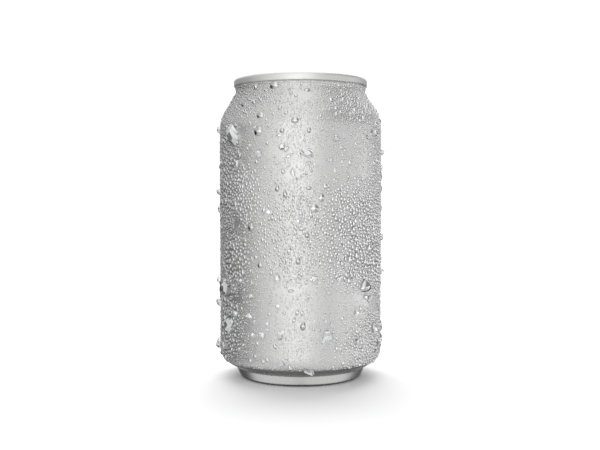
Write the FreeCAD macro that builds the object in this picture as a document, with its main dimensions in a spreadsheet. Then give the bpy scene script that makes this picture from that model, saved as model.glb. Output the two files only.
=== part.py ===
"""A shut 355 ml drinks can, standing upright.

Three pieces, each a solid of its own:
  can_body   the drawn and ironed can, full and shut, with its necked top and its domed foot
  lid        the end that is seamed on: seam ring, chuck wall, countersink and centre panel, with its rivet
  pull_tab   the ring tab that the rivet holds

Millimetres, +Z up. The origin is on the can's axis, on the surface that it stands on. The drinking
mouth and the tab's nose point to -Y.
"""

import math
import os

import FreeCAD
import Part
import Sketcher

Vector = FreeCAD.Vector

# ---------------------------------------------------------------------------------------------
# Driving dimensions: alias, value, meaning. Heights are measured from the standing surface.
# ---------------------------------------------------------------------------------------------
DIMENSIONS = [
    # the wall and the shoulder
    ("wall_radius", 33.05, "outside radius of the straight wall"),
    ("shoulder_low", 105.6, "height where the wall and the shoulder cone would meet"),
    ("shoulder_round", 14.0, "radius of the shoulder's outward bend"),
    ("neck_low", 116.6, "height where the shoulder cone and the neck would meet"),
    ("neck_round", 3.0, "radius of the bend from the shoulder cone into the neck"),
    ("neck_radius", 26.45, "outside radius of the short straight neck under the seam"),
    # the foot
    ("chime_height", 8.2, "height where the wall and the lower cone would meet"),
    ("chime_round", 6.5, "radius of the bend from the wall into the lower cone"),
    ("knee_radius", 26.75, "radius where the lower cone meets the foot ring"),
    ("knee_height", 4.45, "height of that knee"),
    ("knee_round", 0.6, "radius of the knee's inward bend"),
    ("nose_outer", 24.7, "radius where the foot ring's outside would meet the standing surface"),
    ("nose_round_out", 2.1, "rounding of the foot ring on its outside"),
    ("nose_round_in", 1.5, "rounding of the foot ring on its inside"),
    ("leg_radius", 21.1, "radius of the foot ring's inner wall"),
    ("dome_radius", 45.0, "radius of the sphere that the bottom dome is part of"),
    ("dome_height", 10.6, "height of the dome's crown"),
    ("dome_round", 1.5, "rounding between the dome and the foot ring's inner wall"),
    # the seam
    ("seam_top", 122.2, "height of the seam's top, the can's full height"),
    ("seam_bottom", 119.2, "height of the seam's lower edge"),
    ("seam_radius", 27.4, "outside radius of the seam"),
    ("seam_round_out", 0.95, "rounding of the seam's outer top edge"),
    ("seam_round_in", 0.6, "rounding of the seam's inner top edge"),
    ("seam_round_low", 0.35, "rounding of the seam's lower edge"),
    # the recessed end
    ("sheet", 0.3, "thickness of the end's sheet in the chuck wall and the countersink"),
    ("chuck_top_radius", 25.6, "radius of the chuck wall at the seam's top"),
    ("sink_outer", 24.35, "outer radius of the countersink's bottom"),
    ("sink_inner", 23.15, "inner radius of the countersink's bottom"),
    ("sink_height", 115.6, "height of the countersink's bottom"),
    ("sink_round", 0.5, "rounding inside the countersink"),
    ("panel_radius", 22.85, "radius of the centre panel"),
    ("panel_top", 117.9, "height of the centre panel"),
    ("panel_round", 0.6, "rounding of the centre panel's edge"),
    ("panel_thick", 1.4, "depth of the centre panel"),
    # the sunk field of the centre panel
    ("field_front_place", -4.2, "place of the sunk field's round front end"),
    ("field_front_radius", 16.8, "radius of that front end"),
    ("field_back_place", 9.5, "place of the sunk field's round back end"),
    ("field_back_radius", 10.6, "radius of that back end"),
    ("field_depth", 0.45, "depth of the sunk field"),
    # the mouth
    ("mouth_place", -11.4, "middle of the mouth, measured from the rivet"),
    ("mouth_reach", 4.0, "distance of the mouth's end circles from its middle"),
    ("mouth_radius", 7.9, "radius of the mouth's end circles"),
    ("score_width", 0.4, "width of the scored groove round the mouth"),
    ("score_depth", 0.15, "depth of the scored groove"),
    ("bead_outer", 5.9, "outer end radius of the raised bead inside the mouth"),
    ("bead_width", 0.9, "width of the raised bead"),
    ("bead_height", 0.25, "height of the raised bead"),
    # the finger well
    ("well_place", 16.4, "middle of the finger well under the tab's heel"),
    ("well_reach", 3.2, "distance of the finger well's end circles from its middle"),
    ("well_radius", 2.9, "radius of the finger well's end circles"),
    ("well_depth", 0.45, "depth of the finger well"),
    # the rivet
    ("rivet_stem", 1.6, "radius of the rivet's stem"),
    ("rivet_shoulder", 3.1, "radius of the rivet's shoulder under the tab"),
    ("rivet_head", 2.75, "radius of the rivet's head"),
    ("rivet_head_thick", 0.65, "thickness of the rivet's head"),
    ("rivet_round", 0.4, "rounding of the rivet's head"),
    # the tab
    ("tab_bottom", 117.8, "height of the underside of the tab's rim"),
    ("tab_thick", 1.4, "thickness of the tab's curled rim"),
    ("tab_round", 0.6, "rounding of the curled rim"),
    ("tab_nose_place", -0.6, "place of the tab's round nose"),
    ("tab_nose_radius", 7.3, "radius of the nose"),
    ("tab_heel_place", 9.4, "place of the tab's round heel"),
    ("tab_heel_radius", 7.9, "radius of the heel"),
    ("web_thick", 0.4, "thickness of the tab's web round the rivet"),
    ("web_rise", 0.3, "height of the web above the underside of the rim"),
    ("web_nose_place", -0.9, "place of the web's round front end"),
    ("web_nose_radius", 4.7, "radius of that front end"),
    ("web_heel_place", 1.7, "place of the web's round back end"),
    ("web_heel_radius", 4.7, "radius of that back end"),
    ("rivet_play", 0.05, "play between the rivet's stem and the tab"),
    ("slit_radius", 3.7, "middle radius of the slit that frees the web's tongue"),
    ("slit_width", 0.8, "width of that slit"),
    ("slit_half_angle", 105.0, "half the angle that the slit goes round the rivet"),
    ("hole_place", 10.7, "middle of the finger hole"),
    ("hole_reach", 2.2, "distance of the finger hole's end circles from its middle"),
    ("hole_radius", 3.3, "radius of the finger hole's end circles"),
    ("hole_round", 0.4, "rounding of the finger hole's edges"),
]

doc = FreeCAD.newDocument("drinks_can")
sizes = doc.addObject("Spreadsheet::Sheet", "Sizes")
for row, (alias, number, meaning) in enumerate(DIMENSIONS, start=1):
    sizes.set(f"A{row}", meaning)
    sizes.set(f"B{row}", str(number))
    sizes.setAlias(f"B{row}", alias)
doc.recompute()

ON_AXIS = "0"
HORIZONTAL_AXIS, VERTICAL_AXIS = -1, -2
ORIGIN = (-1, 1)
START, END, CENTRE = 1, 2, 3
TOLERANCE = 1e-4  # millimetres within which an edge counts as lying at a given place


def value(expression):
    """The number that an expression of the sheet's cells stands for."""
    return float(sizes.evalExpression(expression))


def bind(thing, prop, expression):
    """Tie one property of an object to the sheet."""
    thing.setExpression(prop, expression)


# ---------------------------------------------------------------------------------------------
# Sketch helpers
# ---------------------------------------------------------------------------------------------
def fix_point(sketch, geometry, position, across, up):
    """Hold a point of a sketch at the distances `across` and `up` from the sketch's origin."""
    for kind, expression, axis in (
        ("DistanceX", across, VERTICAL_AXIS),
        ("DistanceY", up, HORIZONTAL_AXIS),
    ):
        if value(expression) == 0:
            sketch.addConstraint(Sketcher.Constraint("PointOnObject", geometry, position, axis))
            continue
        held = Sketcher.Constraint(kind, *ORIGIN, geometry, position, value(expression))
        index = sketch.addConstraint(held)
        bind(sketch, f"Constraints[{index}]", expression)


def fix_radius(sketch, geometry, expression):
    """Hold an arc or a circle at the radius that an expression gives."""
    index = sketch.addConstraint(Sketcher.Constraint("Radius", geometry, value(expression)))
    bind(sketch, f"Constraints[{index}]", expression)


def add_arc(sketch, centre, radius, first, last):
    """Add the arc that runs anticlockwise from angle `first` to angle `last`, in radians."""
    circle = Part.Circle(centre, Vector(0, 0, 1), radius)
    return sketch.addGeometry(Part.ArcOfCircle(circle, first, last), False)


def angle_from(centre, point):
    """Direction of a point seen from a centre, in radians."""
    return math.atan2(point.y - centre.y, point.x - centre.x)


def rounded_run(sketch, corners, closed):
    """Straight runs through a list of corners, with a tangent arc in each corner that has a radius.

    A corner is (across, up, radius), each an expression, with None for a sharp corner. The tangent
    arc touches both runs at radius / tan(half the angle between them) from the corner. The corners
    stay in the sketch as construction points that the runs pass through. An open run is one that
    something else completes. Returns the first and the last straight run.
    """
    points = [Vector(value(across), value(up), 0) for across, up, _ in corners]
    count = len(points)
    starts, ends, arcs = list(points), list(points), [None] * count
    for i, (_, _, radius) in enumerate(corners):
        if radius is None:
            continue
        before = (points[i - 1] - points[i]).normalize()
        after = (points[(i + 1) % count] - points[i]).normalize()
        half = before.getAngle(after) / 2
        reach = value(radius) / math.tan(half)
        ends[i] = points[i] + before * reach
        starts[i] = points[i] + after * reach
        centre = points[i] + (before + after).normalize() * (value(radius) / math.sin(half))
        turns_left = (before.x * after.y - before.y * after.x) < 0
        arcs[i] = (centre, turns_left)

    runs = []
    for i in range(count if closed else count - 1):
        line = Part.LineSegment(starts[i], ends[(i + 1) % count])
        runs.append(sketch.addGeometry(line, False))

    for i in range(count):
        inner = closed or 0 < i < count - 1
        coming = runs[i - 1] if closed or i > 0 else None
        going = runs[i] if i < len(runs) else None
        across, up, radius = corners[i]
        if arcs[i] is None:
            if going is not None:
                fix_point(sketch, going, START, across, up)
            else:
                fix_point(sketch, coming, END, across, up)
            if inner:
                sketch.addConstraint(Sketcher.Constraint("Coincident", coming, END, going, START))
            continue
        centre, turns_left = arcs[i]
        angles = angle_from(centre, ends[i]), angle_from(centre, starts[i])
        first, last = angles if turns_left else angles[::-1]
        arc = add_arc(sketch, centre, value(radius), first, last)
        enter, leave = (START, END) if turns_left else (END, START)
        sketch.addConstraint(Sketcher.Constraint("Tangent", coming, END, arc, enter))
        sketch.addConstraint(Sketcher.Constraint("Tangent", arc, leave, going, START))
        fix_radius(sketch, arc, radius)
        corner = sketch.addGeometry(Part.Point(points[i]), True)
        fix_point(sketch, corner, START, across, up)
        sketch.addConstraint(Sketcher.Constraint("PointOnObject", corner, START, coming))
        sketch.addConstraint(Sketcher.Constraint("PointOnObject", corner, START, going))
    return runs[0], runs[-1]


def belt_outline(sketch, first, second):
    """The outline of a belt round two circles, each given as (across, up, radius) expressions.

    The straight sides touch both circles. Their outward direction n solves
    n . (second centre - first centre) = first radius - second radius.
    """
    centres = [Vector(value(across), value(up), 0) for across, up, _ in (first, second)]
    radii = [value(first[2]), value(second[2])]
    along = centres[1] - centres[0]
    spacing = along.Length
    along.normalize()
    right = Vector(along.y, -along.x, 0)
    lean = (radii[0] - radii[1]) / spacing
    spread = math.sqrt(1 - lean * lean)
    outward = [along * lean + right * spread, along * lean - right * spread]

    touch = [[centres[k] + side * radii[k] for side in outward] for k in (0, 1)]
    ends = [
        add_arc(sketch, centres[k], radii[k], angle_from(centres[k], touch[k][1 - k]),
                angle_from(centres[k], touch[k][k]))
        for k in (0, 1)
    ]
    right_side = sketch.addGeometry(Part.LineSegment(touch[0][0], touch[1][0]), False)
    left_side = sketch.addGeometry(Part.LineSegment(touch[1][1], touch[0][1]), False)
    order = [(ends[0], right_side), (right_side, ends[1]), (ends[1], left_side), (left_side, ends[0])]
    for coming, going in order:
        sketch.addConstraint(Sketcher.Constraint("Tangent", coming, END, going, START))
    for arc, (across, up, radius) in zip(ends, (first, second)):
        fix_point(sketch, arc, CENTRE, across, up)
        fix_radius(sketch, arc, radius)


def circle_outline(sketch, radius):
    """A circle round the sketch's origin."""
    circle = Part.Circle(Vector(0, 0, 0), Vector(0, 0, 1), value(radius))
    index = sketch.addGeometry(circle, False)
    sketch.addConstraint(Sketcher.Constraint("Coincident", index, CENTRE, *ORIGIN))
    fix_radius(sketch, index, radius)


# ---------------------------------------------------------------------------------------------
# Part design helpers
# ---------------------------------------------------------------------------------------------
def origin_plane(body, role):
    """One of the three origin planes of a body, by its role."""
    return next(f for f in body.Origin.OriginFeatures if f.Role == role)


def new_sketch(body, name, role="XY_Plane", height=None):
    """A sketch on an origin plane of its body, lifted along the plane's normal where asked."""
    sketch = body.newObject("Sketcher::SketchObject", name)
    sketch.AttachmentSupport = [(origin_plane(body, role), "")]
    sketch.MapMode = "FlatFace"
    if height is not None:
        bind(sketch, "AttachmentOffset.Base.z", height)
    return sketch


def turn(body, sketch, name):
    """Revolve a half section once round the can's axis."""
    feature = body.newObject("PartDesign::Revolution", name)
    feature.Profile = sketch
    feature.ReferenceAxis = (sketch, ["V_Axis"])
    feature.Angle = 360.0
    doc.recompute()
    return feature


def pad(body, sketch, name, height):
    """Add material above a sketch."""
    feature = body.newObject("PartDesign::Pad", name)
    feature.Profile = sketch
    bind(feature, "Length", height)
    doc.recompute()
    return feature


def pocket(body, sketch, name, depth, upward=False, through=False):
    """Cut down from a sketch, or up from it, and make sure that something was cut away."""
    before = body.Shape.Volume
    feature = body.newObject("PartDesign::Pocket", name)
    feature.Profile = sketch
    feature.Reversed = upward
    if through:
        feature.Type = "ThroughAll"
    else:
        bind(feature, "Length", depth)
    doc.recompute()
    if body.Shape.Volume >= before:
        raise RuntimeError(f"{name} cuts nothing")
    return feature


def round_edges(body, base, name, radius, wanted):
    """Round the edges of a feature that the test `wanted` picks out."""
    names = [f"Edge{i}" for i, edge in enumerate(base.Shape.Edges, start=1) if wanted(edge)]
    if not names:
        raise RuntimeError(f"{name} finds no edge")
    feature = body.newObject("PartDesign::Fillet", name)
    feature.Base = (base, names)
    bind(feature, "Radius", radius)
    doc.recompute()
    return feature


def at_height(edge, height):
    """Whether an edge lies level at a height."""
    box = edge.BoundBox
    return abs(box.ZMin - height) < TOLERANCE and abs(box.ZMax - height) < TOLERANCE


# ---------------------------------------------------------------------------------------------
# The underside of the lid, shared by the lid and by the can's filled inside, from the seam inwards
# ---------------------------------------------------------------------------------------------
LID_UNDERSIDE = [
    ("Sizes.chuck_top_radius", "Sizes.seam_bottom", None),
    ("Sizes.sink_outer + Sizes.sheet", "Sizes.sink_height - Sizes.sheet", "Sizes.sink_round"),
    ("Sizes.sink_inner - Sizes.sheet", "Sizes.sink_height - Sizes.sheet", "Sizes.sink_round"),
    ("Sizes.panel_radius - Sizes.sheet", "Sizes.panel_top - Sizes.panel_thick", None),
    (ON_AXIS, "Sizes.panel_top - Sizes.panel_thick", None),
]


def make_can_body():
    """The shut can: a half section from the dome round the foot, up the wall and in under the lid."""
    body = doc.addObject("PartDesign::Body", "CanBody")
    body.Label = "can_body"
    section = new_sketch(body, "can_section", "XZ_Plane")

    # The foot ring's inner wall starts where the dome's rounding ends, so its first corner is free.
    leg, dome, bend = value("Sizes.leg_radius"), value("Sizes.dome_radius"), value("Sizes.dome_round")
    dome_centre = Vector(0, value("Sizes.dome_height") - dome, 0)
    bend_rise = math.sqrt((dome - bend) ** 2 - (leg - bend) ** 2)
    bend_centre = Vector(leg - bend, dome_centre.y + bend_rise, 0)

    inner_wall = section.addGeometry(
        Part.LineSegment(Vector(leg, bend_centre.y, 0), Vector(leg, value("Sizes.nose_round_in"), 0)), False
    )
    section.addConstraint(Sketcher.Constraint("Vertical", inner_wall))

    outline = [
        ("Sizes.leg_radius + Sizes.nose_round_in", ON_AXIS, None),
        ("Sizes.nose_outer", ON_AXIS, "Sizes.nose_round_out"),
        ("Sizes.knee_radius", "Sizes.knee_height", "Sizes.knee_round"),
        ("Sizes.wall_radius", "Sizes.chime_height", "Sizes.chime_round"),
        ("Sizes.wall_radius", "Sizes.shoulder_low", "Sizes.shoulder_round"),
        ("Sizes.neck_radius", "Sizes.neck_low", "Sizes.neck_round"),
        ("Sizes.neck_radius", "Sizes.seam_bottom", None),
    ]
    foot, ceiling = rounded_run(section, outline + LID_UNDERSIDE, closed=False)

    # the foot ring's inner rounding: a quarter circle between the inner wall and the floor
    quarter_centre = Vector(leg + value("Sizes.nose_round_in"), value("Sizes.nose_round_in"), 0)
    quarter = add_arc(section, quarter_centre, value("Sizes.nose_round_in"), math.pi, 1.5 * math.pi)
    section.addConstraint(Sketcher.Constraint("Tangent", inner_wall, END, quarter, START))
    section.addConstraint(Sketcher.Constraint("Tangent", quarter, END, foot, START))

    # the dome and its rounding into the inner wall
    bend_angle = angle_from(dome_centre, bend_centre)
    dome_arc = add_arc(section, dome_centre, dome, bend_angle, math.pi / 2)
    bend_arc = add_arc(section, bend_centre, bend, 0, bend_angle)
    section.addConstraint(Sketcher.Constraint("Tangent", dome_arc, START, bend_arc, END))
    section.addConstraint(Sketcher.Constraint("Tangent", bend_arc, START, inner_wall, START))
    section.addConstraint(Sketcher.Constraint("PointOnObject", dome_arc, CENTRE, VERTICAL_AXIS))
    fix_point(section, dome_arc, END, ON_AXIS, "Sizes.dome_height")
    fix_radius(section, dome_arc, "Sizes.dome_radius")
    fix_radius(section, bend_arc, "Sizes.dome_round")

    top = Vector(0, value("Sizes.panel_top - Sizes.panel_thick"), 0)
    axis_line = section.addGeometry(
        Part.LineSegment(top, Vector(0, value("Sizes.dome_height"), 0)), False
    )
    section.addConstraint(Sketcher.Constraint("Coincident", ceiling, END, axis_line, START))
    section.addConstraint(Sketcher.Constraint("Coincident", axis_line, END, dome_arc, END))

    turn(body, section, "can_turned")
    return body


def make_lid():
    """The end: a turned dish with a sunk field, a scored mouth, a bead, a finger well and a rivet."""
    body = doc.addObject("PartDesign::Body", "Lid")
    body.Label = "lid"

    section = new_sketch(body, "lid_section", "XZ_Plane")
    upper_side = [
        (ON_AXIS, "Sizes.panel_top", None),
        ("Sizes.panel_radius", "Sizes.panel_top", "Sizes.panel_round"),
        ("Sizes.sink_inner", "Sizes.sink_height", "Sizes.sink_round"),
        ("Sizes.sink_outer", "Sizes.sink_height", "Sizes.sink_round"),
        ("Sizes.chuck_top_radius", "Sizes.seam_top", "Sizes.seam_round_in"),
        ("Sizes.seam_radius", "Sizes.seam_top", "Sizes.seam_round_out"),
        ("Sizes.seam_radius", "Sizes.seam_bottom", "Sizes.seam_round_low"),
    ]
    rounded_run(section, upper_side + LID_UNDERSIDE, closed=True)
    turn(body, section, "lid_turned")

    field = new_sketch(body, "sunk_field_outline", height="Sizes.panel_top")
    belt_outline(
        field,
        (ON_AXIS, "Sizes.field_front_place", "Sizes.field_front_radius"),
        (ON_AXIS, "Sizes.field_back_place", "Sizes.field_back_radius"),
    )
    pocket(body, field, "sunk_field", "Sizes.field_depth")

    field_floor = "Sizes.panel_top - Sizes.field_depth"
    score = new_sketch(body, "score_outline", height=field_floor)
    for radius in ("Sizes.mouth_radius", "Sizes.mouth_radius - Sizes.score_width"):
        belt_outline(
            score,
            ("-Sizes.mouth_reach", "Sizes.mouth_place", radius),
            ("Sizes.mouth_reach", "Sizes.mouth_place", radius),
        )
    pocket(body, score, "mouth_score", "Sizes.score_depth")

    well = new_sketch(body, "finger_well_outline", height=field_floor)
    belt_outline(
        well,
        ("-Sizes.well_reach", "Sizes.well_place", "Sizes.well_radius"),
        ("Sizes.well_reach", "Sizes.well_place", "Sizes.well_radius"),
    )
    pocket(body, well, "finger_well", "Sizes.well_depth")

    bead = new_sketch(body, "mouth_bead_outline", height=field_floor)
    for radius in ("Sizes.bead_outer", "Sizes.bead_outer - Sizes.bead_width"):
        belt_outline(
            bead,
            ("-Sizes.mouth_reach", "Sizes.mouth_place", radius),
            ("Sizes.mouth_reach", "Sizes.mouth_place", radius),
        )
    pad(body, bead, "mouth_bead", "Sizes.bead_height")

    web_low = "Sizes.tab_bottom + Sizes.web_rise"
    web_high = f"{web_low} + Sizes.web_thick"
    rivet = new_sketch(body, "rivet_section", "XZ_Plane")
    rounded_run(
        rivet,
        [
            (ON_AXIS, "Sizes.panel_top - Sizes.field_depth", None),
            ("Sizes.rivet_shoulder", "Sizes.panel_top - Sizes.field_depth", None),
            ("Sizes.rivet_shoulder", web_low, None),
            ("Sizes.rivet_stem", web_low, None),
            ("Sizes.rivet_stem", web_high, None),
            ("Sizes.rivet_head", web_high, None),
            ("Sizes.rivet_head", f"{web_high} + Sizes.rivet_head_thick", "Sizes.rivet_round"),
            (ON_AXIS, f"{web_high} + Sizes.rivet_head_thick", None),
        ],
        closed=True,
    )
    turn(body, rivet, "rivet")
    return body


def make_pull_tab():
    """The ring tab: a curled rim, a thin web with a freed tongue round the rivet, and a finger hole."""
    body = doc.addObject("PartDesign::Body", "PullTab")
    body.Label = "pull_tab"

    outline = new_sketch(body, "tab_outline", height="Sizes.tab_bottom")
    belt_outline(
        outline,
        (ON_AXIS, "Sizes.tab_nose_place", "Sizes.tab_nose_radius"),
        (ON_AXIS, "Sizes.tab_heel_place", "Sizes.tab_heel_radius"),
    )
    plate = pad(body, outline, "tab_blank", "Sizes.tab_thick")
    low = value("Sizes.tab_bottom")
    high = value("Sizes.tab_bottom + Sizes.tab_thick")
    round_edges(
        body, plate, "curled_rim", "Sizes.tab_round", lambda e: at_height(e, low) or at_height(e, high)
    )

    web_parts = (
        (ON_AXIS, "Sizes.web_nose_place", "Sizes.web_nose_radius"),
        (ON_AXIS, "Sizes.web_heel_place", "Sizes.web_heel_radius"),
    )
    above = new_sketch(body, "web_outline_above", height="Sizes.tab_bottom + Sizes.tab_thick")
    belt_outline(above, *web_parts)
    depth_above = "Sizes.tab_thick - Sizes.web_rise - Sizes.web_thick"
    pocket(body, above, "web_sunk_above", depth_above)
    below = new_sketch(body, "web_outline_below", height="Sizes.tab_bottom")
    belt_outline(below, *web_parts)
    pocket(body, below, "web_sunk_below", "Sizes.web_rise", upward=True)

    rivet_hole = new_sketch(body, "rivet_hole_outline", height="Sizes.tab_bottom + Sizes.tab_thick")
    circle_outline(rivet_hole, "Sizes.rivet_stem + Sizes.rivet_play")
    pocket(body, rivet_hole, "rivet_hole", None, through=True)

    slit = new_sketch(body, "tongue_slit_outline", height="Sizes.tab_bottom + Sizes.tab_thick")
    slit_outline(slit)
    pocket(body, slit, "tongue_slit", None, through=True)

    hole = new_sketch(body, "finger_hole_outline", height="Sizes.tab_bottom + Sizes.tab_thick")
    belt_outline(
        hole,
        ("-Sizes.hole_reach", "Sizes.hole_place", "Sizes.hole_radius"),
        ("Sizes.hole_reach", "Sizes.hole_place", "Sizes.hole_radius"),
    )
    cut = pocket(body, hole, "finger_hole", None, through=True)
    hole_front = value("Sizes.hole_place - Sizes.hole_radius") - TOLERANCE
    hole_back = value("Sizes.hole_place + Sizes.hole_radius") + TOLERANCE
    hole_side = value("Sizes.hole_reach + Sizes.hole_radius") + TOLERANCE

    def on_hole_rim(edge):
        box = edge.BoundBox
        along = hole_front < box.YMin and box.YMax < hole_back
        across = -hole_side < box.XMin and box.XMax < hole_side
        return along and across and (at_height(edge, low) or at_height(edge, high))

    round_edges(body, cut, "finger_hole_round", "Sizes.hole_round", on_hole_rim)
    return body


def slit_outline(sketch):
    """A round-ended slit that curves about the rivet on the heel's side."""
    half = math.radians(value("Sizes.slit_half_angle"))
    first, last = math.pi / 2 - half, math.pi / 2 + half
    middle, cap = value("Sizes.slit_radius"), value("Sizes.slit_width / 2")
    origin = Vector(0, 0, 0)
    outer = add_arc(sketch, origin, middle + cap, first, last)
    inner = add_arc(sketch, origin, middle - cap, first, last)
    caps = []
    for angle, start in ((first, first - math.pi), (last, last)):
        centre = Vector(middle * math.cos(angle), middle * math.sin(angle), 0)
        caps.append(add_arc(sketch, centre, cap, start, start + math.pi))
    for arc in (outer, inner):
        sketch.addConstraint(Sketcher.Constraint("Coincident", arc, CENTRE, *ORIGIN))
    joints = [(inner, START, caps[0], START), (caps[0], END, outer, START),
              (outer, END, caps[1], START), (caps[1], END, inner, END)]
    for joint in joints:
        sketch.addConstraint(Sketcher.Constraint("Tangent", *joint))
    fix_radius(sketch, outer, "Sizes.slit_radius + Sizes.slit_width / 2")
    fix_radius(sketch, inner, "Sizes.slit_radius - Sizes.slit_width / 2")
    for geometry in caps:
        across = f"Sizes.slit_radius * sin(Sizes.slit_half_angle) * {1 if geometry == caps[0] else -1}"
        held = Sketcher.Constraint("DistanceX", *ORIGIN, geometry, CENTRE, value(across))
        bind(sketch, f"Constraints[{sketch.addConstraint(held)}]", across)


def check_document():
    """Stop if anything in the document failed to compute."""
    for thing in doc.Objects:
        if "Invalid" in thing.State or "Error" in thing.State:
            raise RuntimeError(f"{thing.Name} did not compute: {thing.State}")


def check_piece(piece):
    """Stop unless a piece is one valid solid."""
    shape = piece.Shape
    if shape.isNull() or not shape.isValid() or len(shape.Solids) != 1:
        raise RuntimeError(f"{piece.Label} is not one valid solid")


pieces = [make_can_body(), make_lid(), make_pull_tab()]
doc.recompute()
check_document()
for piece in pieces:
    piece.Placement = FreeCAD.Placement()
    check_piece(piece)

os.makedirs("parts", exist_ok=True)
for piece in pieces:
    piece.Shape.exportStep(os.path.join("parts", f"{piece.Label}.step"))
    box = piece.Shape.BoundBox
    print(
        f"{piece.Label}: volume {piece.Shape.Volume:.1f} mm3,"
        f" {box.XLength:.2f} x {box.YLength:.2f} x {box.ZLength:.2f} mm,"
        f" z {box.ZMin:.2f} to {box.ZMax:.2f}"
    )
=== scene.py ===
# %% [markdown]
# # A cold drinks can
#
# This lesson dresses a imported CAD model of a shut 355 ml aluminium can. The can is bare metal, it
# has just come out of the cold, and it is wet all over: a fine dew, thousands of beads, some big
# drops, and small chips of clear ice that stick to it. The CAD model has the right sizes, so the
# lesson starts from it and never moves it. What the lesson adds is a smooth skin for the turned
# wall, the finish of every surface, and the water and the ice as real little meshes.

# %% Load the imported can
import math

import bpy
import numpy as np
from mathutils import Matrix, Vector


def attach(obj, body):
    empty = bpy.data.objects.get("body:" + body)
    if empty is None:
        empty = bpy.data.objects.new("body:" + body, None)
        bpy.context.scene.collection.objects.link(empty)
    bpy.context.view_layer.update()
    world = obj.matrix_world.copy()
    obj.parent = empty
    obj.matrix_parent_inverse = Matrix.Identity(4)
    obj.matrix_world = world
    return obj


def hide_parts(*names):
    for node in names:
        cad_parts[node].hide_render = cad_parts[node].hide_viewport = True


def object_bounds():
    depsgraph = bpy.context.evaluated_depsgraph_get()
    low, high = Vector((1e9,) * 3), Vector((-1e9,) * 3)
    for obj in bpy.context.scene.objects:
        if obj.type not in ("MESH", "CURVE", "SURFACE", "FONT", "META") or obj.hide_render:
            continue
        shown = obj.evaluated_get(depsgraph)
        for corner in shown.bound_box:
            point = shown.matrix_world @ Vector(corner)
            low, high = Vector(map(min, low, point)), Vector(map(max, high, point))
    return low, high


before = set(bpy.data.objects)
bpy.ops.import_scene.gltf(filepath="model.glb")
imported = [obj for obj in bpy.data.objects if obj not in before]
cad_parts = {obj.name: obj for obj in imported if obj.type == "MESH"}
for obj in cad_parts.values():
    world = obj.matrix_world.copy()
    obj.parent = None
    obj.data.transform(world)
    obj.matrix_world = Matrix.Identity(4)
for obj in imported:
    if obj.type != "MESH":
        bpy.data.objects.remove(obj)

MM = 0.001
cad_low, cad_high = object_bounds()
print("CAD box in mm:", [round(x / MM, 2) for x in cad_high - cad_low])

# %% [markdown]
# ## Camera
#
# The can is seen at the height of its middle, from about eleven times its radius, with the lens
# looking down by two degrees. So the seam shows its outside from just below, and the foot shows
# from above. A camera in Blender looks along its own -Z, so it is turned up by 90 degrees less the
# tilt.

# %% Camera
eye_distance = 368.8 * MM
eye_height = 75.6 * MM
eye_side = -0.19 * MM
look_down = math.radians(2.04)

camera_data = bpy.data.cameras.new("camera")
camera_data.lens = 53.25
camera_data.sensor_width = 36.0
camera_data.clip_start = 0.01
camera = bpy.data.objects.new("camera", camera_data)
camera.location = (eye_side, -eye_distance, eye_height)
camera.rotation_euler = (math.pi / 2 - look_down, 0.0, 0.0)
bpy.context.scene.collection.objects.link(camera)
bpy.context.scene.camera = camera
bpy.context.scene.view_settings.view_transform = "Standard"
print("camera at", [round(x, 3) for x in camera.location])

# %% [markdown]
# ## Helpers for meshes
#
# Every new shape in this lesson is worked out as an array of points with numpy and handed to
# Blender in one go. A grid of points is joined by quads, and its two ends are closed, either with
# one face or, where the grid ends in a point, with a fan of triangles. Many equal grids can go into
# one mesh: the face list of the first is repeated with a shift.

# %% Mesh helpers
def grid_faces(rows, columns):
    """Corner numbers of the quads of a tube-like grid of `rows` rings with `columns` points each.

    Ring i, point j is joined to its right-hand neighbour (round the ring) and to ring i + 1. The
    faces look outwards when the points go anticlockwise seen from the tube's far end.
    """
    ring, step = np.meshgrid(np.arange(rows - 1), np.arange(columns), indexing="ij")
    here = ring * columns + step
    right = ring * columns + (step + 1) % columns
    return np.stack([here, right, right + columns, here + columns], axis=-1).reshape(-1, 4)


def fan_faces(first, columns, tip, outward):
    """Triangles that join a ring of `columns` points, starting at `first`, to the point `tip`."""
    step = np.arange(columns)
    here, right = first + step, first + (step + 1) % columns
    ends = (here, right) if outward else (right, here)
    return np.stack([ends[0], ends[1], np.full(columns, tip)], axis=-1)


def build_mesh(name, points, faces, smooth=True, copies=1):
    """Make an object from an array of points and a list of face arrays of equal-sided faces.

    With `copies`, the points are that many equal shapes one after another, and the faces are those
    of the first one, repeated for each shape with the corner numbers moved on.
    """
    points = np.asarray(points, dtype=np.float32).reshape(-1, 3)
    shift = np.arange(copies)[:, None] * (len(points) // copies)
    corners = np.concatenate([np.asarray(f).ravel() for f in faces])
    sides = np.concatenate([np.full(len(f), np.shape(f)[1]) for f in faces])
    corners = (corners[None, :] + shift).ravel()
    sides = np.tile(sides, copies)
    mesh = bpy.data.meshes.new(name)
    mesh.vertices.add(len(points))
    mesh.vertices.foreach_set("co", points.ravel())
    mesh.loops.add(len(corners))
    mesh.loops.foreach_set("vertex_index", corners.astype(np.int32))
    mesh.polygons.add(len(sides))
    mesh.polygons.foreach_set("loop_start", (np.cumsum(sides) - sides).astype(np.int32))
    mesh.polygons.foreach_set("use_smooth", np.full(len(sides), smooth))
    mesh.update(calc_edges=True)
    mesh.validate()
    piece = bpy.data.objects.new(name, mesh)
    bpy.context.scene.collection.objects.link(piece)
    print(f"{name}: {copies} shapes, {int((sides - 2).sum())} triangles")
    return piece


# %% [markdown]
# ## The outline of the can
#
# A drawn can is a turned shape: one outline swung round the axis. The outline is straight runs with
# a round in each corner, so it is given as corners with a radius, and the arcs are worked out. An
# arc of radius R in a corner whose two runs enclose the angle A touches each run at R / tan(A / 2)
# from the corner. The sizes are those of the CAD model. The dome under the can is part of a sphere.

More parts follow.
